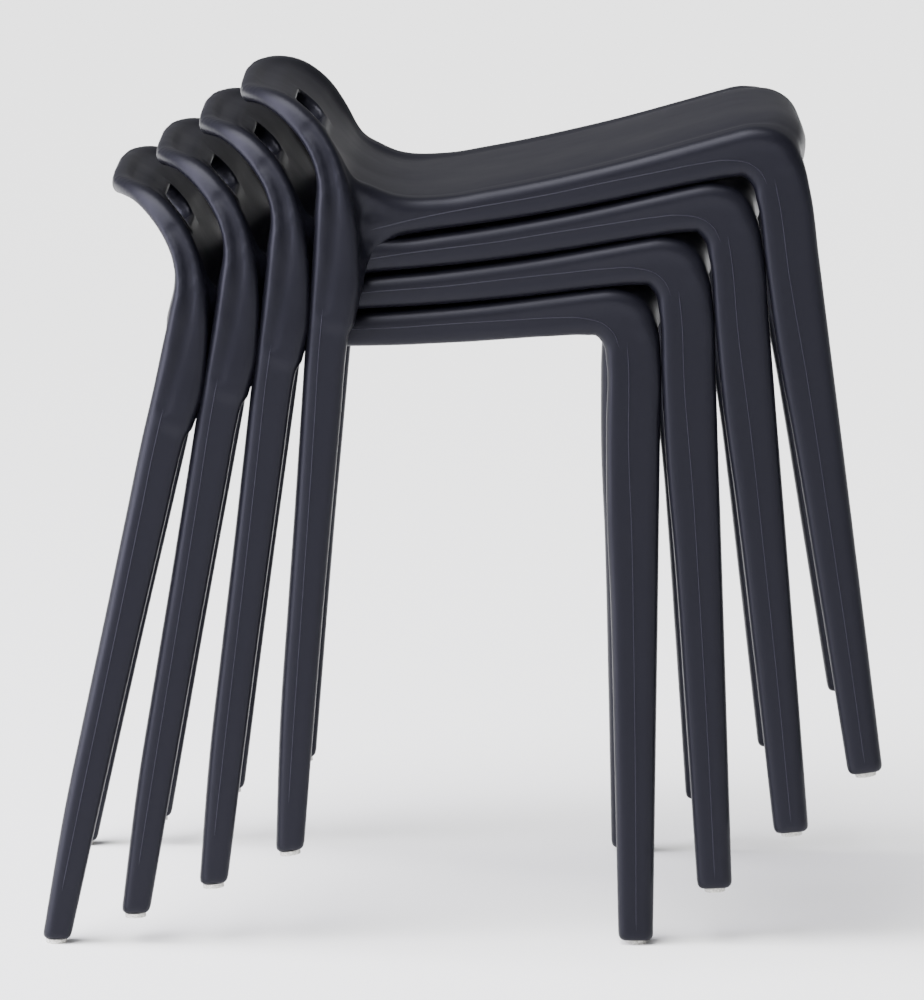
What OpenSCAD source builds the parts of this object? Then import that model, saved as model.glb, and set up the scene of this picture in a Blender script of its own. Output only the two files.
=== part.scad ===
// Stack of four stacking stools with low backs, each one a single moulding with four push-in glides.
// X points forward, Y to the side, Z up. The lowest stool stands on Z = 0.

/* [Moulding] */
// Height of the seat at the middle of its side edge, above the end of the legs
seat_h = 448; // [446:1:450]
// Height of the end face of a leg above the floor
glide_t = 3; // [2:0.5:4]
// Half the width over the seat rails
rail_y = 148; // [144:1:148]
// Width of a seat rail across the chair
rail_w = 24; // [20:1:26]
// Thickness of the seat and back skin
skin_t = 6; // [4:0.5:7]
// Distance from front feet to back feet
foot_gap = 416; // [410:1:420]
// Half the distance between the two back feet
back_foot_y = 170; // [168:1:174]
// Half the distance between the two front feet
front_foot_y = 160; // [156:1:164]

/* [Handle slot] */
// Length of the slot through the backrest
slot_l = 84; // [80:1:110]
// Height of the slot
slot_h = 26; // [20:1:30]

/* [Glides] */
// Diameter of a glide's flat head
glide_d = 15; // [12:0.5:17]
// Diameter of a glide's stem and of the bore in the leg
stem_d = 8; // [6:0.5:9]
// Depth of the bore in the leg
stem_l = 16; // [10:1:20]

/* [Stack] */
// How far forward a stool sits on the one below, at the back feet
nest_x = 56.8; // [56.4:0.1:58]
// How far up a stool sits on the one below, at the back feet
nest_z = 19.2; // [19.2:0.1:21]
// How far a stool tips back on the one below
nest_tilt = 2.67; // [2.6:0.01:2.75]

/* [Hidden] */
CHAIRS = 4;
SHELLS = [for (c = [1:CHAIRS]) str("chair_", c, "_shell")];
CORNERS = ["back_right", "back_left", "front_right", "front_left"];

SIDES = 12;          // corners of a leg's or rail's section
SQUARENESS = 2.6;    // 2 is an ellipse, more is squarer
ACROSS = 12;         // strips across the seat and the back
foot_x = foot_gap / 2;
rail_mid_y = rail_y - rail_w / 2;
half_rail = rail_w / 2;
lift = seat_h - 448; // every height above the legs moves with the seat
front_x = 226;       // front of the seat's hem
shell_l = front_x + foot_x + 9.1;
shell_w = 2 * (back_foot_y + 10.1);
shell_h = 540.55 + lift;
middle_x = 82.52;    // half way from the lowest stool's back feet to the top stool's front

// Back post and rim of the back, from a back foot up to the middle of the rim.
// Each station: x, y, z, direction of the depth in x and z, half depth, half width.
POST = [
    [-foot_x + 0.5, back_foot_y, 0, 1, 0, 8.2, 8.4],
    [-foot_x + 0.8, back_foot_y, 2.5, 1, 0, 10.2, 10.4],
    [-foot_x + 20.2, 168.5, 100, 1, 0, 12.3, 11],
    [-foot_x + 36, 167, 173, 1, 0, 13, 11],
    [-foot_x + 51.7, 165.5, 245, 1, 0, 13.6, 11],
    [-foot_x + 64.3, 164, 303, 1, 0, 14.3, 11],
    [-131.6, 163, 358, 1, 0, 15, 11],
    [-122.5, 162, 398, 1, 0, 15.3, 11],
    [-116.3, 161, 430, 1, 0.05, 15, 10.6],
    [-113, 160, 455, 1, 0.15, 13.2, 10.4],
    [-112.8, 157, 475, 1, 0.38, 10.5, 10],
    [-117, 153.5, 493, 1, 0.5, 8.9, 9],
    [-124, 148, 507, 0.85, 0.53, 8.4, 8.2],
    [-137, 137, 522.6, 0.59, 0.81, 7.4, 7.2],
    [-149, 122, 530.6, 0.43, 0.9, 5.9, 7],
    [-160, 100, 533.4, 0.25, 1, 5.4, 6.6],
    [-165.2, 74, 533, 0.1, 1, 5.4, 6],
    [-166.6, 48, 534.6, 0, 1, 5.4, 5.6],
    [-166.8, 16, 535.2, -0.05, 1, 5.4, 5.4]
];

// Seat rail and front leg, from inside the back post down to a front foot.
RAIL = [
    [-119, 156, 460, 0.3, 1, 15, 8],
    [-107, 148, 455, 0.35, 1, 15, 9.5],
    [-92, 138.4, 448.5, 0.3, 1, 14, 9.5],
    [-72, rail_mid_y, 440.5, 0.1, 1, 12, half_rail],
    [-40, rail_mid_y, 436.4, 0, 1, 9.8, half_rail],
    [0, rail_mid_y, 436.9, 0, 1, 10, half_rail],
    [80, rail_mid_y, 442, 0, 1, 11.2, half_rail],
    [140, rail_mid_y, 448, -0.1, 1, 12.8, half_rail],
    [170, rail_mid_y, 450.5, 0.1, 1, 15, half_rail],
    [183, rail_mid_y, 450, 0.38, 0.92, 18, half_rail],
    [193.3, rail_mid_y, 443.8, 0.78, 0.62, 19.8, half_rail],
    [200, 136.6, 433.2, 0.91, 0.42, 20, half_rail],
    [202.6, 137.6, 415, 1, 0.08, 19.3, half_rail],
    [202.7, 140, 370, 1, 0, 19.2, half_rail],
    [203, 143.6, 303, 1, 0, 18.6, half_rail],
    [204.4, 147, 244, 1, 0, 17, half_rail],
    [206, 153.4, 127, 1, 0, 14.7, 12.2],
    [foot_x - 0.4, front_foot_y, 2.5, 1, 0, 12.4, 12.4],
    [foot_x - 0.4, front_foot_y, 0, 1, 0, 10.4, 10.4]
];

// Top face of the seat and the back, from the hem under the front edge to the rim.
// Each station: x and z on the centre line, x and z at the edge, half width, flatness across.
SKIN = [
    [front_x - 3, 435, 207, 438, 134, 6],
    [front_x, 446, 209, 446, 134, 6],
    [222.5, 458, 207, 453, 135, 6],
    [212, 467, 201, 459, 136, 6],
    [190, 470.5, 187, 462, 136, 6],
    [150, 466, 149, 459, 136, 6],
    [103, 459, 103, 453, 136, 6],
    [56, 453, 56, 448.5, 136, 6],
    [0, 448.5, 0, 445, 136, 6],
    [-40, 447, -40, 444, 136, 6],
    [-66, 450, -68, 447, 142, 4],
    [-84, 457.5, -86, 456.5, 146.5, 3],
    [-97.5, 468.5, -98.5, 467.5, 150, 3],
    [-107.5, 481, -104.8, 482, 152, 3],
    [-117.3, 494.7, -112, 497.5, 151, 3],
    [-123.7, 505.2, -117.4, 509.3, 147, 3],
    [-129.6, 512.3, -123.5, 517.5, 143, 3],
    [-135, 518.6, -129.7, 524, 138, 3],
    [-139.7, 523.2, -135.8, 529, 131, 3],
    [-144.3, 528, -142.5, 532.7, 123, 3],
    [-149.8, 531, -149.3, 534.5, 114, 3],
    [-156, 533, -156, 535.5, 101, 3],
    [-162.7, 534, -163, 535.4, 85, 3]
];

// Middle of the handle slot and the direction that it runs through the back.
SLOT_AT = [-128.5, 0, 510.5];
SLOT_TILT = 54;

function pick(list, i) = list[max(0, min(len(list) - 1, i))];
function unit(v) = v / norm(v);
function place(s) = [s[0], s[1], s[2] > 400 ? s[2] + lift : s[2]];
function round_corner(c) = sign(c) * pow(abs(c), 2 / SQUARENESS);

// One ring of a leg, rail or rim, around station i of a list
function ring(list, i) = let (
    s = list[i],
    along = unit(place(pick(list, i + 1)) - place(pick(list, i - 1))),
    deep = unit([s[3], 0, s[4]]),
    wide = unit(cross(along, deep))
) [
    for (k = [0:SIDES - 1])
        let (a = 360 * (k + 0.5) / SIDES)
        place(s) + s[5] * round_corner(cos(a)) * deep + s[6] * round_corner(sin(a)) * wide
];

// Solid through rings that all have the same number of points
module through(rings) {
    n = len(rings[0]);
    last = len(rings) - 1;
    points = [for (r = rings) for (p = r) p];
    walls = [
        for (i = [0:last - 1])
            for (k = [0:n - 1])
                for (f = [
                    [i * n + k, (i + 1) * n + k, i * n + (k + 1) % n],
                    [i * n + (k + 1) % n, (i + 1) * n + k, (i + 1) * n + (k + 1) % n]
                ]) f
    ];
    ends = [[for (k = [0:n - 1]) k], [for (k = [n - 1:-1:0]) last * n + k]];
    polyhedron(points, concat(walls, ends));
}

function mirrored(list) = [for (i = [len(list) - 1:-1:0]) [for (k = [0:6]) k == 1 ? -list[i][1] : list[i][k]]];

module post_and_rim() {
    hoop = concat(POST, mirrored(POST));
    through([for (i = [0:len(hoop) - 1]) ring(hoop, i)]);
}

module rail_and_leg() {
    through([for (i = [0:len(RAIL) - 1]) ring(RAIL, i)]);
}

// A point of the top face at station s, at v from -1 to 1 across
function top_point(s, v) = let (e = pow(abs(v), s[5])) [
    s[0] + (s[2] - s[0]) * e,
    s[4] * v,
    s[1] + (s[3] - s[1]) * e + lift
];

module skin() {
    rows = SKIN;
    n = len(rows);
    function v(j) = -1 + 2 * j / ACROSS;
    function normal(i, j) = unit(cross(
        top_point(rows[i], v(min(ACROSS, j + 1))) - top_point(rows[i], v(max(0, j - 1))),
        top_point(pick(rows, i + 1), v(j)) - top_point(pick(rows, i - 1), v(j))
    ));
    // Each ring runs across the top face and back across the under face
    through([
        for (i = [0:n - 1]) concat(
            [for (j = [0:ACROSS]) top_point(rows[i], v(j))],
            [for (j = [ACROSS:-1:0]) top_point(rows[i], v(j)) - skin_t * normal(i, j)]
        )
    ]);
}

module handle_slot() {
    translate(SLOT_AT)
        rotate([0, SLOT_TILT, 0])
            linear_extrude(90, center = true)
                hull()
                    for (y = [-1, 1])
                        translate([0, y * (slot_l - slot_h) / 2])
                            circle(d = slot_h, $fn = 24);
}

// The whole moulding, brought to its exact overall length, width and height
module moulding() {
    resize([shell_l, shell_w, shell_h])
        difference() {
            union() {
                post_and_rim();
                skin();
                rail_and_leg();
                mirror([0, 1, 0])
                    rail_and_leg();
            }
            handle_slot();
        }
}

// Middle of leg k's end face
function foot_centre(k) = [
    k < 2 ? -foot_x + 0.5 : foot_x - 0.4,
    (k % 2 == 0 ? -1 : 1) * (k < 2 ? back_foot_y : front_foot_y),
    0
];

// Moves a part of stool c from the lowest stool's place to its own
module nested(c) {
    if (c > 1)
        translate([-foot_x + nest_x, 0, nest_z])
            rotate([0, -nest_tilt, 0])
                translate([foot_x, 0, 0])
                    nested(c - 1)
                        children();
    else
        translate([0, 0, glide_t])
            children();
}

// The same, with the whole stack centred over the origin
module stacked(c) {
    translate([-middle_x, 0, 0])
        nested(c)
            children();
}

module shell(c) {
    color([0.15, 0.15, 0.19])
        stacked(c)
            difference() {
                moulding();
                for (k = [0:3])
                    translate(foot_centre(k) - [0, 0, 1])
                        cylinder(d = stem_d, h = stem_l + 1, $fn = 24);
            }
}

module glide(c, k) {
    color([0.72, 0.72, 0.7])
        stacked(c)
            translate(foot_centre(k)) {
                translate([0, 0, -glide_t])
                    cylinder(d = glide_d, h = glide_t, $fn = 32);
                cylinder(d = stem_d, h = stem_l - 1, $fn = 24);
            }
}

for (c = [1:CHAIRS])
    shell(c);
for (c = [1:CHAIRS])
    for (k = [0:3])
        glide(c, k);
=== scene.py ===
import math

import bpy
import numpy as np
from mathutils import Matrix, Vector


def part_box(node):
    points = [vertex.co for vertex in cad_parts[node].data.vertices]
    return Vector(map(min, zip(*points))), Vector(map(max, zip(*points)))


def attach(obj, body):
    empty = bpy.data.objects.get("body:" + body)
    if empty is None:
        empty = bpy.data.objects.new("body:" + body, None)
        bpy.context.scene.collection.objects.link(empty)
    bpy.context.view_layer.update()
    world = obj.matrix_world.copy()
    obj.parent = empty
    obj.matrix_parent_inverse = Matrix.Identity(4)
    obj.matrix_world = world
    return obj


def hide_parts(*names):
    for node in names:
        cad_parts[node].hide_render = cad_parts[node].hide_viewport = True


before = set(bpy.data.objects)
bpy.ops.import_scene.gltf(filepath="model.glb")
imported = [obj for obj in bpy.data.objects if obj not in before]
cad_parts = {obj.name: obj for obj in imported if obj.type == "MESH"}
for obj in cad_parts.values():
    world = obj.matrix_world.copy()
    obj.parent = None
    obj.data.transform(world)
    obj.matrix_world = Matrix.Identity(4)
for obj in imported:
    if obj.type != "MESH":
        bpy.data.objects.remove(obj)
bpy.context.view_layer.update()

# A stack of four identical moulded chairs. The shell of one chair is worked out in millimetres, as a field
# of distances from its surface. It is made into a mesh once and laid in the frame four times. In a chair's
# own millimetres x runs forward from the middle, y to its left and z up from the ends of its legs.

MM = 0.001
CHAIRS = (1, 2, 3, 4)
CORNERS = ("back_right", "back_left", "front_right", "front_left")
FOOT_X = 208.0                     # from a chair's middle back to the point that the nesting step turns on
GLIDE_X = 207.5                    # from a chair's middle back to the middle of its rear glides
GLIDE_T = 3.0                      # thickness of a glide under the leg
NEST_STEP = (56.8, 19.2)           # forward and up, from one chair to the next
NEST_TILT = math.radians(2.67)     # and how far the upper one leans back

# The grid of the field, in millimetres
CELL = 2.5
REACH = 12.0                       # how far from a surface its distance is kept, and the widest blend
LOW = np.array((-226.0, 0.0, -6.0))
HIGH = np.array((236.0, 186.0, 560.0))
TINY = 0.001                       # the least gap that is divided by

# ---------------------------------------------------------------- the shell, in millimetres
# Stations of the back leg and the rim it turns into, from the foot up to the middle of the back:
# x, y, z, direction of the depth in x and z, half depth, half width, and two corner radii. The first
# radius is the rear outer corner's and the second is that of the other three.
POST = [
    (-208.6, 170.0, -6.0, 1, 0, 10.0, 9.6, 8.0, 5.0),
    (-187.9, 168.5, 100.0, 1, 0, 12.5, 10.8, 9.0, 5.0),
    (-172.2, 167.0, 173.0, 1, 0, 13.0, 11.0, 9.5, 5.0),
    (-156.4, 165.5, 245.0, 1, 0, 13.7, 11.0, 10.0, 5.0),
    (-143.8, 164.0, 303.0, 1, 0, 14.4, 11.0, 10.0, 5.0),
    (-131.3, 163.0, 360.0, 1, 0, 15.2, 11.0, 10.0, 5.0),
    (-120.7, 162.0, 398.0, 1, 0, 17.1, 11.0, 9.5, 6.5),
    (-115.2, 161.0, 430.0, 1, 0.05, 16.1, 10.6, 9.0, 7.0),
    (-113.0, 160.0, 455.0, 1, 0.15, 13.2, 10.4, 8.0, 6.0),
    (-112.8, 157.0, 475.0, 1, 0.38, 10.5, 10.0, 7.0, 6.0),
    (-117.0, 153.5, 493.0, 1, 0.50, 8.9, 9.0, 6.0, 5.5),
    (-124.0, 148.0, 507.0, 0.85, 0.53, 8.4, 8.2, 6.0, 5.5),
    (-137.0, 137.0, 522.6, 0.59, 0.81, 7.4, 7.2, 5.5, 5.5),
    (-149.0, 122.0, 530.6, 0.43, 0.90, 5.9, 7.0, 5.0, 5.0),
    (-160.0, 100.0, 533.3, 0.25, 1, 5.3, 6.6, 5.0, 5.0),
    (-165.2, 74.0, 533.0, 0.10, 1, 5.4, 6.0, 5.0, 5.0),
    (-166.6, 48.0, 534.4, 0.0, 1, 5.3, 5.6, 5.0, 5.0),
    (-166.8, 16.0, 535.0, -0.05, 1, 5.3, 5.4, 5.0, 5.0),
    (-166.8, -16.0, 535.0, -0.05, 1, 5.3, 5.4, 5.0, 5.0),
]
# Stations of the side rail and the front leg it turns down into, in the same terms
RAIL = [
    (-119.0, 156.0, 460.0, 0.30, 1, 15.0, 8.0, 7.0, 6.0),
    (-107.0, 148.0, 455.0, 0.35, 1, 15.0, 9.5, 7.0, 6.0),
    (-92.0, 138.4, 448.5, 0.30, 1, 14.0, 9.5, 6.0, 5.0),
    (-72.0, 136.0, 440.0, 0.10, 1, 12.5, 12.0, 6.0, 8.0),
    (-40.0, 136.0, 435.6, 0, 1, 10.6, 12.0, 6.0, 8.0),
    (0.0, 136.0, 435.9, 0, 1, 11.0, 12.0, 6.0, 8.0),
    (80.0, 136.0, 440.7, 0, 1, 12.5, 12.0, 6.0, 8.0),
    (140.0, 136.0, 446.7, -0.10, 1, 14.1, 12.0, 6.0, 8.0),
    (170.0, 136.0, 449.6, 0.10, 1, 15.9, 12.0, 7.0, 8.5),
    (183.0, 136.0, 450.0, 0.38, 0.92, 18.0, 12.0, 8.0, 9.0),
    (193.3, 136.0, 443.8, 0.78, 0.62, 19.8, 12.0, 9.0, 9.0),
    (200.0, 136.6, 433.2, 0.91, 0.42, 20.0, 12.0, 9.0, 9.0),
    (202.6, 137.6, 415.0, 1, 0.08, 19.3, 12.0, 9.0, 7.0),
    (202.7, 140.0, 370.0, 1, 0, 19.2, 12.0, 9.0, 7.0),
    (203.0, 143.6, 303.0, 1, 0, 18.6, 12.0, 9.0, 7.0),
    (204.4, 147.0, 244.0, 1, 0, 17.0, 12.0, 9.0, 7.0),
    (206.0, 153.4, 127.0, 1, 0, 14.7, 12.2, 9.0, 7.0),
    (207.5, 160.2, -6.0, 1, 0, 12.3, 12.2, 8.0, 7.0),
]
# Stations of the web that fills the corner under the hip, where leg and rail meet, in the same terms
HIP = [
    (-121.0, 161.0, 372.0, 0.97, -0.24, 8.0, 8.0, 6.0, 6.0),
    (-114.5, 158.0, 393.0, 0.95, -0.30, 9.5, 8.5, 6.0, 6.0),
    (-109.0, 152.0, 406.5, 0.90, -0.43, 10.0, 9.0, 6.0, 6.0),
    (-103.2, 144.0, 415.5, 0.80, -0.60, 10.0, 9.0, 6.0, 6.0),
    (-88.1, 138.5, 427.6, 0.50, -0.87, 10.0, 8.5, 6.0, 6.0),
    (-70.0, 136.5, 434.5, 0.10, -1, 8.0, 7.5, 6.0, 6.0),
    (-52.0, 136.0, 434.5, 0, -1, 4.5, 4.5, 4.0, 4.0),
    (-34.0, 136.0, 435.6, 0, -1, 2.0, 2.0, 1.5, 1.5),
]
BAR_PITCH = 4.0                    # how far apart a bar's sections are worked out

# Stations of the seat and the back, from the front hem over the seat and up to the lip of the back:
# centre x and z, edge x and z, half width, and how late the surface turns from centre to edge
SKIN = [
    (223.0, 435, 211, 437, 140, 5), (225.4, 446, 213, 446, 140, 5), (222.5, 458, 211, 454, 141, 5),
    (212.0, 467, 203, 460.5, 142, 5), (190.0, 470.5, 187, 463, 142, 5), (150.0, 466, 149, 459, 142, 5),
    (103.0, 459, 103, 453, 141, 5), (56.0, 453, 56, 448.5, 141, 5), (0.0, 448.5, 0, 445, 140, 5),
    (-40.0, 447, -40, 444, 140, 5), (-66.0, 450, -68, 447, 142, 4),
    (-84.0, 457.5, -86, 456.5, 146.5, 3), (-97.5, 468.5, -98.5, 467.5, 150, 3),
    (-107.5, 481, -104.8, 482, 152, 3), (-117.3, 494.7, -112, 497.5, 151, 3),
    (-123.7, 505.2, -117.4, 509.3, 147, 3), (-129.6, 512.3, -123.5, 517.5, 143, 3),
    (-135.0, 518.6, -129.7, 524, 138, 3), (-139.7, 523.2, -135.8, 529, 131, 3),
    (-144.3, 528, -142.5, 532.7, 123, 3), (-149.8, 531, -149.3, 534.5, 114, 3),
    (-156.0, 533, -156, 535.5, 101, 3), (-162.7, 534, -163, 535.4, 85, 3),
]
SKIN_PITCH = 5.0
SKIN_T = 6.0

# The handle slot in the back, and the lip around it
SLOT_AT = (-127.0, 508.4)          # x and z of its middle
SLOT_TILT = math.radians(36)       # how steeply it rises through the back, from rear to front
SLOT_HALF = 42.0
SLOT_RADIUS = 13.0
LIP_T = 3.0                        # how much thicker the back is at the lip
LIP_WIDTH = 6.0

# The groove between the rear rim and the side of a leg: x and z from top to bottom, and how many times
# GROOVE_DEPTH deep it is there
GROOVE = [
    (-124.5, 511, 0.2), (-118.1, 502.2, 0.8), (-115, 492.5, 1.2), (-113.2, 484.4, 1.4),
    (-112.6, 475.1, 1.5), (-112.6, 460, 1.5), (-114.3, 446.6, 1.4), (-116.7, 435.6, 1.1),
    (-119.8, 419.3, 0.6), (-125.4, 401.4, 0.3), (-130.5, 384, 0.2),
]
GROOVE_PITCH = 4.0
GROOVE_DEPTH = 1.7
GROOVE_RADIUS = 4.5

# How wide the fillets and the rounded edges are
RAIL_FILLET = 11.0                 # between the back leg and the side rail
HIP_FILLET = 12.0                  # between the web and both of them
SKIN_FILLET = 9.0                  # between the seat or back and the bars
LIP_FILLET = 3.0
SLOT_EDGE = 1.2
GROOVE_EDGE = 4.0
FOOT_EDGE = 5.0

# Parting lines left by the mould on the outer side, x and z: under the rail to the front corner, down
# the front leg, and down the back leg
PARTING = [
    [(-91, 431.6), (-58.6, 435.1), (-26, 437.2), (2.5, 438.3), (31, 439.4), (74, 442.6),
     (117, 445.5), (146, 447.3), (167, 447), (182, 442.4), (189, 435), (192, 426)],
    [(197.5, 430), (198.6, 417), (199.2, 360), (202.3, 288), (204.5, 200), (206.5, 100), (207.6, 8)],
    [(-130.5, 384), (-136.1, 360), (-147.7, 303), (-159.6, 245), (-174.7, 172.6), (-189.9, 100),
     (-203, 36)],
]
PARTING_RADIUS = 0.38
PARTING_PITCH = 3.0
PARTING_SIDES = 6
PARTING_TAPER = 3                  # how many rings the line takes to reach its full radius
PARTING_TIP = 0.1                  # the share of the radius that it ends with


# ---------------------------------------------------------------- curves and fields
def unit(v):
    return v / np.linalg.norm(v, axis=-1, keepdims=True)


def between(a, b, t):
    return a + t * (b - a)


def spline(stations, pitch, keys=3):
    """Rows of values on a smooth curve through the stations, no more than about one pitch apart.

    The first values of each station, as many as keys says, are its place.
    """
    p = np.array(stations, float)
    span = np.linalg.norm(np.diff(p[:, :keys], axis=0), axis=1)
    slope = np.diff(p, axis=0) / span[:, None]
    before, after = span[:-1, None], span[1:, None]
    inner = (slope[:-1] * after + slope[1:] * before) / (after + before)
    tangent = np.vstack([slope[:1], inner, slope[-1:]])
    rows = []
    for i, length in enumerate(span):
        count = max(1, math.ceil(length / pitch))
        t = (np.arange(count) / count)[:, None]
        rows.append((2 * t**3 - 3 * t**2 + 1) * p[i] + (t**3 - 2 * t**2 + t) * length * tangent[i]
                    + (3 * t**2 - 2 * t**3) * p[i + 1] + (t**3 - t**2) * length * tangent[i + 1])
    return np.vstack(rows + [p[-1:]])


class Field:
    """Distances from a surface on a grid over the left half of a chair, negative inside it.

    The first two layers in y lie right of the middle plane, as the mirror image of the next two.
    """

    def __init__(self):
        n = np.ceil((HIGH - LOW) / CELL).astype(int) + 1
        self.axis = [LOW[0] + CELL * np.arange(n[0]),
                     CELL * (np.arange(n[1]) - 1.5),
                     LOW[2] + CELL * np.arange(n[2])]
        self.value = np.full([len(a) for a in self.axis], REACH, np.float32)

    def window(self, low, high):
        """Slices of the grid between two corners, and the coordinates there, ready to broadcast."""
        cut = []
        for a, lo, hi in zip(self.axis, low, high):
            first, past = np.searchsorted(a, (lo, hi))
            cut.append(slice(int(first), int(past)))
        x, y, z = (a[c].astype(np.float32) for a, c in zip(self.axis, cut))
        return tuple(cut), x[:, None, None], y[None, :, None], z[None, None, :]

    def mirror(self):
        self.value[:, 1] = self.value[:, 2]
        self.value[:, 0] = self.value[:, 3]

    def locate(self, points, margin):
        """The cell that each point is in, at least margin cells inside the grid, and its place there."""
        g = (points - [a[0] for a in self.axis]) / CELL
        i = np.clip(np.floor(g).astype(int), margin, np.array(self.value.shape) - 2 - margin)
        return i, g - i

    def linear(self, points):
        """Values at points by linear interpolation."""
        i, t = self.locate(points, 0)
        total = 0
        for corner in np.ndindex(2, 2, 2):
            weight = np.abs(1 - np.array(corner) - t).prod(1)
            total = total + weight * self.value[tuple((i + corner).T)]
        return total

    def cubic(self, points):
        """Values and slopes at points by cubic interpolation."""
        i, t = self.locate(points, 1)
        weight = np.stack([-t / 2 + t**2 - t**3 / 2, 1 - 2.5 * t**2 + 1.5 * t**3,
                           t / 2 + 2 * t**2 - 1.5 * t**3, (t**3 - t**2) / 2], -1)
        change = np.stack([-0.5 + 2 * t - 1.5 * t**2, -5 * t + 4.5 * t**2,
                           0.5 + 4 * t - 4.5 * t**2, 1.5 * t**2 - t], -1)
        near = i[:, :, None] + np.arange(-1, 3)
        block = self.value[near[:, 0, :, None, None], near[:, 1, None, :, None], near[:, 2, None, None, :]]

        def mixed(x, y, z):
            return np.einsum("nijk,ni,nj,nk->n", block, x[:, 0], y[:, 1], z[:, 2], optimize=True)

        slope = [mixed(change, weight, weight), mixed(weight, change, weight), mixed(weight, weight, change)]
        return mixed(weight, weight, weight), np.stack(slope, -1) / CELL


def rounded(u, v, half_u, half_v, radius):
    """The distance from a rectangle with rounded corners, in its own plane."""
    past_u = np.abs(u) - half_u + radius
    past_v = np.abs(v) - half_v + radius
    outside = np.hypot(np.maximum(past_u, 0), np.maximum(past_v, 0))
    return outside + np.minimum(np.maximum(past_u, past_v), 0) - radius


def bar(stations):
    """The field of a rounded bar swept along its stations."""
    field = Field()
    rows = spline(stations, BAR_PITCH)
    place = rows[:, :3]
    heading = np.gradient(place, axis=0)
    deep = unit(np.stack([rows[:, 3], 0 * rows[:, 3], rows[:, 4]], -1))
    wide = unit(np.cross(heading, deep))
    along = np.cross(deep, wide)
    along = along * np.sign((along * heading).sum(-1, keepdims=True))
    pad = rows[:, 5:7].max(1) + REACH
    last = len(rows) - 2
    for i in range(last + 1):
        j = i + 1
        reach = max(pad[i], pad[j])
        cut, *grid = field.window(np.minimum(place[i], place[j]) - reach,
                                  np.maximum(place[i], place[j]) + reach)
        before = sum((g - place[i, k]) * along[i, k] for k, g in enumerate(grid))
        after = sum((g - place[j, k]) * along[j, k] for k, g in enumerate(grid))
        gap = np.where(np.abs(before - after) < TINY, TINY, before - after)
        t = np.clip(before / gap, 0, 1)
        off = [g - between(place[i, k], place[j, k], t) for k, g in enumerate(grid)]
        u = sum(p * between(deep[i, k], deep[j, k], t) for k, p in enumerate(off))
        v = sum(p * between(wide[i, k], wide[j, k], t) for k, p in enumerate(off))
        half_u, half_v, rear, other = (between(rows[i, k], rows[j, k], t) for k in range(5, 9))
        d = rounded(u, v, half_u, half_v, np.where((u < 0) & (v > 0), rear, other))
        use = (before >= 0) & (after <= 0)
        if i == 0:
            use = use | (before < 0)
            d = np.where(before < 0, np.hypot(np.maximum(d, 0), before), d)
        if i == last:
            use = use | (after > 0)
            d = np.where(after > 0, np.hypot(np.maximum(d, 0), after), d)
        field.value[cut] = np.where(use, np.minimum(field.value[cut], d), field.value[cut])
    field.mirror()
    return field


def skin(thickness):
    """The field of the seat and back, a sheet of even thickness below its top surface."""
    field = Field()
    rows = spline(SKIN, SKIN_PITCH, keys=2)
    centre, half, power = rows[:, 0:2], rows[:, 4:5], rows[:, 5:6]
    fall = rows[:, 2:4] - centre
    share = np.minimum(np.maximum(field.axis[1], 0) / half, 1)
    line = centre[:, None] + fall[:, None] * (share**power)[..., None]
    rise = np.where(share < 1, power * share**(power - 1) / half, 0)[..., None] * fall[:, None]
    ahead = unit(np.gradient(line, axis=0))
    normal = np.stack([ahead[..., 1], -ahead[..., 0]], -1)
    lean = 1 / np.sqrt(1 + (rise * normal).sum(-1)**2)
    line = line - normal * (thickness / 2 / lean)[..., None]
    pad = REACH + thickness
    for i in range(len(rows) - 1):
        j = i + 1
        both = np.concatenate([line[i], line[j]])
        low, high = both.min(0) - pad, both.max(0) + pad
        cut, x, y, z = field.window((low[0], -pad, low[1]), (high[0], half[i:j + 1].max() + pad, high[1]))
        start = line[i][cut[1]][None, :, None, :]
        run = line[j][cut[1]][None, :, None, :] - start
        off_x, off_z = x - start[..., 0], z - start[..., 1]
        t = np.clip((off_x * run[..., 0] + off_z * run[..., 1]) / (run**2).sum(-1), 0, 1)
        off = np.hypot(off_x - t * run[..., 0], off_z - t * run[..., 1])
        past = np.maximum(y - half[i, 0] - t * (half[j, 0] - half[i, 0]), 0)
        value = np.hypot(off * lean[i][cut[1]][None, :, None], past) - thickness / 2
        field.value[cut] = np.minimum(field.value[cut], value)
    field.mirror()
    return field


def rod(path, radius):
    """The field of a round rod along a path whose points are already close together."""
    field = Field()
    reach = radius + REACH
    for a, b in zip(path[:-1], path[1:]):
        d = b - a
        cut, x, y, z = field.window(np.minimum(a, b) - reach, np.maximum(a, b) + reach)
        x, y, z = x - a[0], y - a[1], z - a[2]
        t = np.clip((x * d[0] + y * d[1] + z * d[2]) / (d @ d), 0, 1)
        off = np.sqrt((x - t * d[0])**2 + (y - t * d[1])**2 + (z - t * d[2])**2)
        field.value[cut] = np.minimum(field.value[cut], off - radius)
    return field


def slot_distance(x, y, z):
    """The distance from the handle slot, which runs through the back with round ends."""
    across = (z - SLOT_AT[1]) * math.cos(SLOT_TILT) - (x - SLOT_AT[0]) * math.sin(SLOT_TILT)
    return np.hypot(np.maximum(np.abs(y) - SLOT_HALF + SLOT_RADIUS, 0), across) - SLOT_RADIUS


def blend(a, b, k):
    """The union of two distances with a fillet of about k."""
    h = np.maximum(k - np.abs(a - b), 0) / k
    return np.minimum(a, b) - h * h * k / 4


def cut_away(a, b, k):
    """a without b, with an edge rounded by about k."""
    return -blend(-a, b, k)


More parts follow.
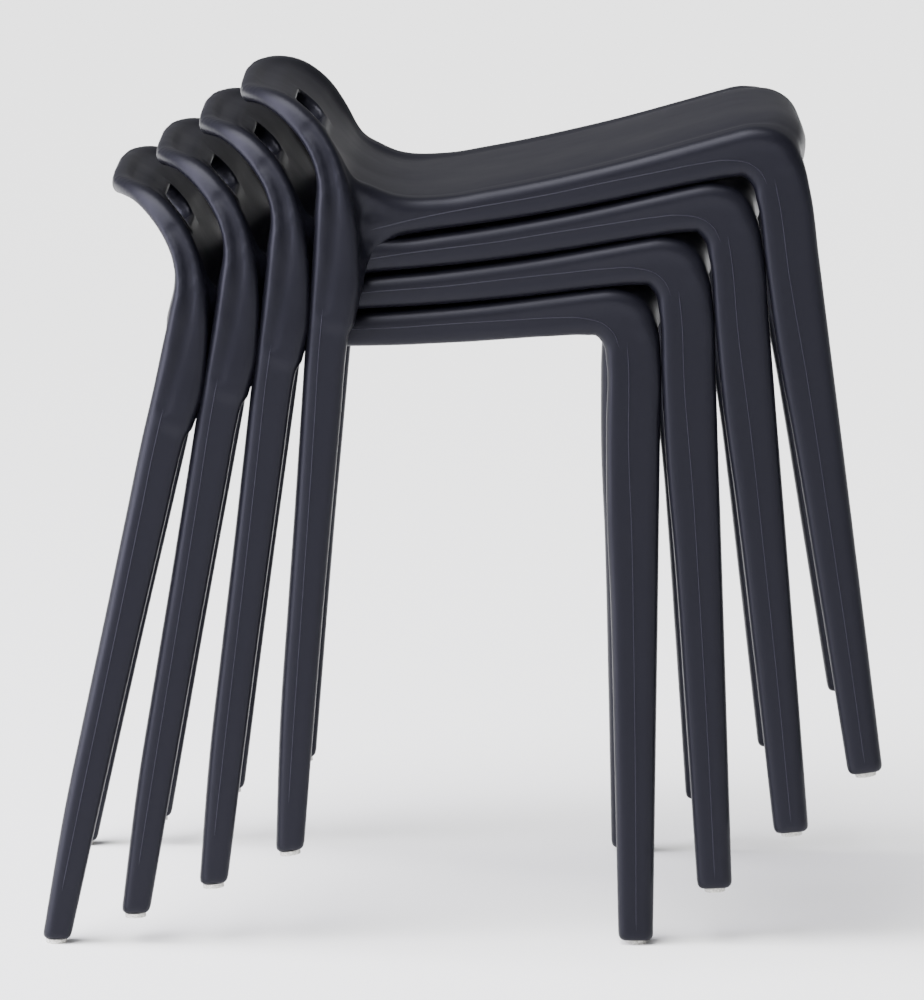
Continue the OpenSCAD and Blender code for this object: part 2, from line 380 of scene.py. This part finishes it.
def onto_side(field, xz, steps=60, stride=0.8):
    """Points on the outer side surface at these x and z, found from outside inwards."""
    y = np.full(len(xz), HIGH[1])
    for _ in range(steps):
        d = field.linear(np.stack([xz[:, 0], y, xz[:, 1]], -1))
        y = np.where(y > 0, y - d * stride, y)
    return np.stack([xz[:, 0], y, xz[:, 1]], -1)


def groove(field):
    """The field of the rod that presses the groove into the side of the leg."""
    route = spline(GROOVE, GROOVE_PITCH, keys=2)
    path = onto_side(field, route)
    path[:, 1] += GROOVE_RADIUS - GROOVE_DEPTH * route[:, 2]
    return rod(path, GROOVE_RADIUS)


def shell_field():
    """The field of the left half of a chair's moulding."""
    body = Field()
    body.value = blend(bar(POST).value, bar(RAIL).value, RAIL_FILLET)
    body.value = blend(body.value, bar(HIP).value, HIP_FILLET)
    body.value = blend(body.value, skin(SKIN_T).value, SKIN_FILLET)
    _, x, y, z = body.window(LOW - REACH, HIGH + REACH)
    slot = slot_distance(x, y, z)
    lip = np.maximum(skin(SKIN_T + LIP_T).value, slot - LIP_WIDTH)
    body.value = cut_away(blend(body.value, lip, LIP_FILLET), slot, SLOT_EDGE)
    body.value = cut_away(body.value, groove(body).value, GROOVE_EDGE)
    body.value = cut_away(body.value, np.broadcast_to(z, body.value.shape), FOOT_EDGE)
    body.mirror()
    return body


# ---------------------------------------------------------------- meshes, in a chair's own millimetres
def cut_cells(field):
    """Where the surface cuts the grid: points, quads, and which points are in the middle layer of cells.

    A point is the mean of the places where the surface crosses its cell's edges.
    """
    f = field.value
    cells = np.array(f.shape) - 1
    total = np.zeros((cells.prod(), 3))
    count = np.zeros(cells.prod())
    quads = []
    for axis in range(3):
        low = tuple(slice(0, -1) if k == axis else slice(None) for k in range(3))
        high = tuple(slice(1, None) if k == axis else slice(None) for k in range(3))
        a, b = f[low], f[high]
        at = np.argwhere((a < 0) != (b < 0))
        va, vb = a[tuple(at.T)], b[tuple(at.T)]
        point = at.astype(float)
        point[:, axis] += va / (va - vb)
        u, v = (axis + 1) % 3, (axis + 2) % 3
        corner, whole = [], np.ones(len(at), bool)
        for du, dv in ((-1, -1), (0, -1), (0, 0), (-1, 0)):
            c = at.copy()
            c[:, u] += du
            c[:, v] += dv
            inside = ((c >= 0) & (c < cells)).all(1)
            whole &= inside & (c[:, 1] >= 1)
            key = np.ravel_multi_index(tuple(np.clip(c, 0, cells - 1).T), tuple(cells))
            corner.append(key)
            for k in range(3):
                total[:, k] += np.bincount(key[inside], point[inside, k], len(total))
            count += np.bincount(key[inside], minlength=len(count))
        quad = np.stack(corner, -1)
        quad[va >= 0] = quad[va >= 0][:, ::-1]
        quads.append(quad[whole])
    quads = np.vstack(quads)
    used, flat = np.unique(quads, return_inverse=True)
    points = total[used] / count[used][:, None] * CELL + [a[0] for a in field.axis]
    midway = np.unravel_index(used, tuple(cells))[1] == 1
    return points, flat.reshape(quads.shape), midway


def eased(field, points, quads, midway, turns=3, share=0.5, pulls=2, flattest=0.05):
    """The points moved towards the middle of their neighbours and back onto the surface, a few times."""
    edges = np.vstack([quads[:, [k, (k + 1) % 4]] for k in range(4)])
    degree = np.bincount(edges.ravel(), minlength=len(points))[:, None]
    for _ in range(turns):
        near = np.stack([np.bincount(edges[:, 0], points[edges[:, 1], k], len(points))
                         + np.bincount(edges[:, 1], points[edges[:, 0], k], len(points))
                         for k in range(3)], -1)
        points = points + share * (near / degree - points)
        points[midway, 1] = 0
        for _ in range(pulls):
            d, slope = field.cubic(points)
            size = np.maximum((slope**2).sum(-1), flattest)
            points = points - np.clip(d / size, -1, 1)[:, None] * slope
            points[midway, 1] = 0
    return points


def shell_mesh(field):
    """Vertices and quads of the whole moulding, the left half and its mirror image."""
    points, quads, midway = cut_cells(field)
    points = eased(field, points, quads, midway)
    other = np.arange(len(points))
    other[~midway] = len(points) + np.arange((~midway).sum())
    points = np.vstack([points, points[~midway] * (1, -1, 1)])
    return points, np.vstack([quads, other[quads][:, ::-1]])


def parting_mesh(field):
    """Vertices and quads of thin rods half sunk in the outer sides, along the parting lines."""
    points, quads, start = [], [], 0
    for line in PARTING:
        path = onto_side(field, spline(line, PARTING_PITCH, keys=2))
        along = unit(np.gradient(path, axis=0))
        out = unit(np.cross(along, (0.0, 1.0, 0.0)))
        other = np.cross(along, out)
        angle = (np.arange(PARTING_SIDES) * 2 * math.pi / PARTING_SIDES)[None, :, None]
        to_end = np.minimum(np.arange(len(path)), np.arange(len(path))[::-1])
        radius = PARTING_RADIUS * np.minimum(1, to_end / PARTING_TAPER + PARTING_TIP)
        circle = np.cos(angle) * out[:, None] + np.sin(angle) * other[:, None]
        ring = path[:, None] + radius[:, None, None] * circle
        i, k = np.meshgrid(np.arange(len(path) - 1), np.arange(PARTING_SIDES), indexing="ij")
        near, ahead = i * PARTING_SIDES + k, (i + 1) * PARTING_SIDES + k
        turned = (k + 1) % PARTING_SIDES - k
        faces = np.stack([near, near + turned, ahead + turned, ahead], -1).reshape(-1, 4)
        for side in (1, -1):
            points.append(ring.reshape(-1, 3) * (1, side, 1))
            quads.append((faces if side == 1 else faces[:, ::-1]) + start)
            start += len(path) * PARTING_SIDES
    return np.vstack(points), np.vstack(quads)


# ---------------------------------------------------------------- pieces, in the frame
def nested(chair):
    """Where chair 1, 2, 3 or 4 stands: a matrix from its own millimetres to the frame's metres."""
    pivot = Matrix.Translation((FOOT_X, 0, 0))
    nudge = Matrix.Translation((NEST_STEP[0], 0, NEST_STEP[1]))
    step = nudge @ pivot.inverted() @ Matrix.Rotation(-NEST_TILT, 4, "Y") @ pivot
    place = Matrix.Translation((0, 0, GLIDE_T))
    for _ in range(chair - 1):
        place = step @ place
    low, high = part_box("chair_1_glide_back_left")
    middle = (low.x + high.x) / 2 / MM + GLIDE_X
    return Matrix.Scale(MM, 4) @ Matrix.Translation((middle, 0, 0)) @ place


def link(name, data):
    thing = bpy.data.objects.new(name, data)
    bpy.context.scene.collection.objects.link(thing)
    return thing


def new_piece(name, chair, points, quads, finish):
    """An object with a smooth mesh, laid where its chair stands."""
    m = np.array(nested(chair))
    points = points @ m[:3, :3].T + m[:3, 3]
    mesh = bpy.data.meshes.new(name)
    mesh.vertices.add(len(points))
    mesh.vertices.foreach_set("co", points.astype(np.float32).ravel())
    mesh.loops.add(quads.size)
    mesh.loops.foreach_set("vertex_index", quads.astype(np.int32).ravel())
    mesh.polygons.add(len(quads))
    mesh.polygons.foreach_set("loop_start", np.arange(0, quads.size, quads.shape[1], dtype=np.int32))
    mesh.polygons.foreach_set("use_smooth", np.ones(len(quads), bool))
    mesh.update()
    mesh.validate()
    mesh.materials.append(finish)
    return link(name, mesh)


# ---------------------------------------------------------------- materials
def add_node(tree, kind, values):
    """A node of this kind with these values on its inputs."""
    node = tree.nodes.new(kind)
    for name, value in values.items():
        node.inputs[name].default_value = value
    return node


def new_material(name, values):
    """A material with these values on its shader, and the material's node tree and shader."""
    material = bpy.data.materials.new(name)
    material.use_nodes = True
    shader = material.node_tree.nodes["Principled BSDF"]
    for socket, value in values.items():
        shader.inputs[socket].default_value = value
    return material, material.node_tree, shader


def moulded(name, colour, gloss):
    """Satin plastic with a fine grain and slow changes of gloss."""
    material, tree, shader = new_material(name, {
        "Base Color": (*colour, 1), "Specular IOR Level": gloss, "Specular Tint": (0.86, 0.86, 1.0, 1)})
    place = tree.nodes.new("ShaderNodeTexCoord")
    grain = add_node(tree, "ShaderNodeTexNoise", {"Scale": 900, "Detail": 3})
    cloud = add_node(tree, "ShaderNodeTexNoise", {"Scale": 14, "Detail": 4})
    rough = add_node(tree, "ShaderNodeMapRange", {
        "From Min": 0.3, "From Max": 0.7, "To Min": 0.38, "To Max": 0.46})
    bump = add_node(tree, "ShaderNodeBump", {"Strength": 0.12, "Distance": 0.0002})
    for noise in (grain, cloud):
        tree.links.new(place.outputs["Object"], noise.inputs["Vector"])
    tree.links.new(cloud.outputs["Fac"], rough.inputs["Value"])
    tree.links.new(rough.outputs["Result"], shader.inputs["Roughness"])
    tree.links.new(grain.outputs["Fac"], bump.inputs["Height"])
    tree.links.new(bump.outputs["Normal"], shader.inputs["Normal"])
    return material


def speckled(name, dark, light):
    """Matt plastic with specks between a dark and a light colour."""
    material, tree, shader = new_material(name, {"Roughness": 0.6})
    place = tree.nodes.new("ShaderNodeTexCoord")
    speck = add_node(tree, "ShaderNodeTexNoise", {"Scale": 1100, "Detail": 2})
    ramp = tree.nodes.new("ShaderNodeValToRGB")
    for stop, position, colour in zip(ramp.color_ramp.elements, (0.35, 0.6), (dark, light)):
        stop.position = position
        stop.color = (*colour, 1)
    bump = add_node(tree, "ShaderNodeBump", {"Strength": 0.2, "Distance": 0.0001})
    tree.links.new(place.outputs["Object"], speck.inputs["Vector"])
    tree.links.new(speck.outputs["Fac"], ramp.inputs["Fac"])
    tree.links.new(ramp.outputs["Color"], shader.inputs["Base Color"])
    tree.links.new(speck.outputs["Fac"], bump.inputs["Height"])
    tree.links.new(bump.outputs["Normal"], shader.inputs["Normal"])
    return material


SHELL_FINISH = moulded("black_polypropylene", (0.0042, 0.0042, 0.0068), 0.17)
# The parting lines get a lighter, glossier black than the shell. This is a painted highlight that stands in
# for the light catching their thin ridges.
PARTING_HIGHLIGHT_FINISH = moulded("parting_line_painted_highlight", (0.011, 0.0105, 0.017), 0.26)
GLIDE_FINISH = speckled("grey_nylon", (0.30, 0.29, 0.26), (0.66, 0.65, 0.61))

# ---------------------------------------------------------------- the stack
shell = shell_field()
shell_points, shell_quads = shell_mesh(shell)
line_points, line_quads = parting_mesh(shell)

for chair in CHAIRS:
    piece = new_piece(f"chair_{chair}_parting_lines", chair, line_points, line_quads, PARTING_HIGHLIGHT_FINISH)
    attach(piece, f"chair_{chair}")

    piece = new_piece(f"chair_{chair}_moulding", chair, shell_points, shell_quads, SHELL_FINISH)
    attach(piece, f"chair_{chair}")
    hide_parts(f"chair_{chair}_shell")

    for corner in CORNERS:
        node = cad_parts[f"chair_{chair}_glide_{corner}"]
        node.data.materials.clear()
        node.data.materials.append(GLIDE_FINISH)

# ---------------------------------------------------------------- camera
TARGET = Vector((-0.0021, 0, 0.295))
DISTANCE = 5.264
PITCH = math.radians(9.18)         # how far down it looks
YAW = math.radians(-0.25)
ROLL = math.radians(0.325)
LENS = 258.5                       # millimetres, for a picture that is SENSOR millimetres high
SENSOR = 36

forward = Vector((math.sin(YAW) * math.cos(PITCH), math.cos(YAW) * math.cos(PITCH), -math.sin(PITCH)))
level = Vector((math.cos(YAW), -math.sin(YAW), 0))
upright = level.cross(forward)
right = math.cos(ROLL) * level + math.sin(ROLL) * upright
up = math.cos(ROLL) * upright - math.sin(ROLL) * level

camera_data = bpy.data.cameras.new("camera")
camera_data.sensor_fit = "VERTICAL"
camera_data.sensor_height = SENSOR
camera_data.lens = LENS
camera = link("camera", camera_data)
camera.matrix_world = (Matrix.Translation(TARGET - forward * DISTANCE)
                       @ Matrix((right, up, -forward)).transposed().to_4x4())
bpy.context.scene.camera = camera

# ---------------------------------------------------------------- floor
FLOOR_HALF = 60                    # metres, far past what the camera sees
FLOOR_CORNERS = [(x * FLOOR_HALF, y * FLOOR_HALF, 0) for x, y in ((-1, -1), (1, -1), (1, 1), (-1, 1))]
FLOOR_FINISH, _, _ = new_material("pale_floor", {"Base Color": (0.95, 0.95, 0.95, 1), "Roughness": 0.9})

floor_mesh = bpy.data.meshes.new("floor")
floor_mesh.from_pydata(FLOOR_CORNERS, [], [(0, 1, 2, 3)])
floor_mesh.materials.append(FLOOR_FINISH)
floor = link("floor", floor_mesh)

# ---------------------------------------------------------------- light
# A dome, a little brighter overhead than at the horizon
HORIZON, OVERHEAD = 0.3, 0.36
DOME_COLOUR = (0.97, 0.97, 1, 1)

world = bpy.data.worlds.new("studio")
bpy.context.scene.world = world
world.use_nodes = True
sky = world.node_tree
background = sky.nodes["Background"]
background.inputs["Color"].default_value = DOME_COLOUR
direction = sky.nodes.new("ShaderNodeTexCoord")
parts = sky.nodes.new("ShaderNodeSeparateXYZ")
height = add_node(sky, "ShaderNodeMapRange", {
    "From Min": 0.05, "From Max": 1, "To Min": HORIZON, "To Max": OVERHEAD})
sky.links.new(direction.outputs["Generated"], parts.inputs["Vector"])
sky.links.new(parts.outputs["Z"], height.inputs["Value"])
sky.links.new(height.outputs["Result"], background.inputs["Strength"])


def point_along(light, direction):
    light.rotation_euler = Vector(direction).to_track_quat("-Z", "Y").to_euler()


def softbox(name, place, aim, size, power, colour):
    data = bpy.data.lights.new(name, "AREA")
    data.shape = "RECTANGLE"
    data.size, data.size_y = size
    data.energy = power
    data.color = colour
    light = link(name, data)
    light.location = place
    point_along(light, Vector(aim) - Vector(place))


softbox("left", place=(-2.6, -0.5, 1.0), aim=(0, 0, 0.35), size=(1.6, 2.6), power=160,
        colour=(0.86, 0.84, 1.0))
softbox("front", place=(-0.6, -3.6, 2.2), aim=(0, 0, 0.3), size=(1.6, 1.2), power=25,
        colour=(0.95, 0.93, 1.0))

# A very wide sun overhead, for soft shadows on the floor
SUN_POWER = 10
SUN_WIDTH = math.radians(60)

sun = bpy.data.lights.new("overhead", "SUN")
sun.energy = SUN_POWER
sun.angle = SUN_WIDTH
point_along(link("overhead", sun), (0.55, 0.35, -1))
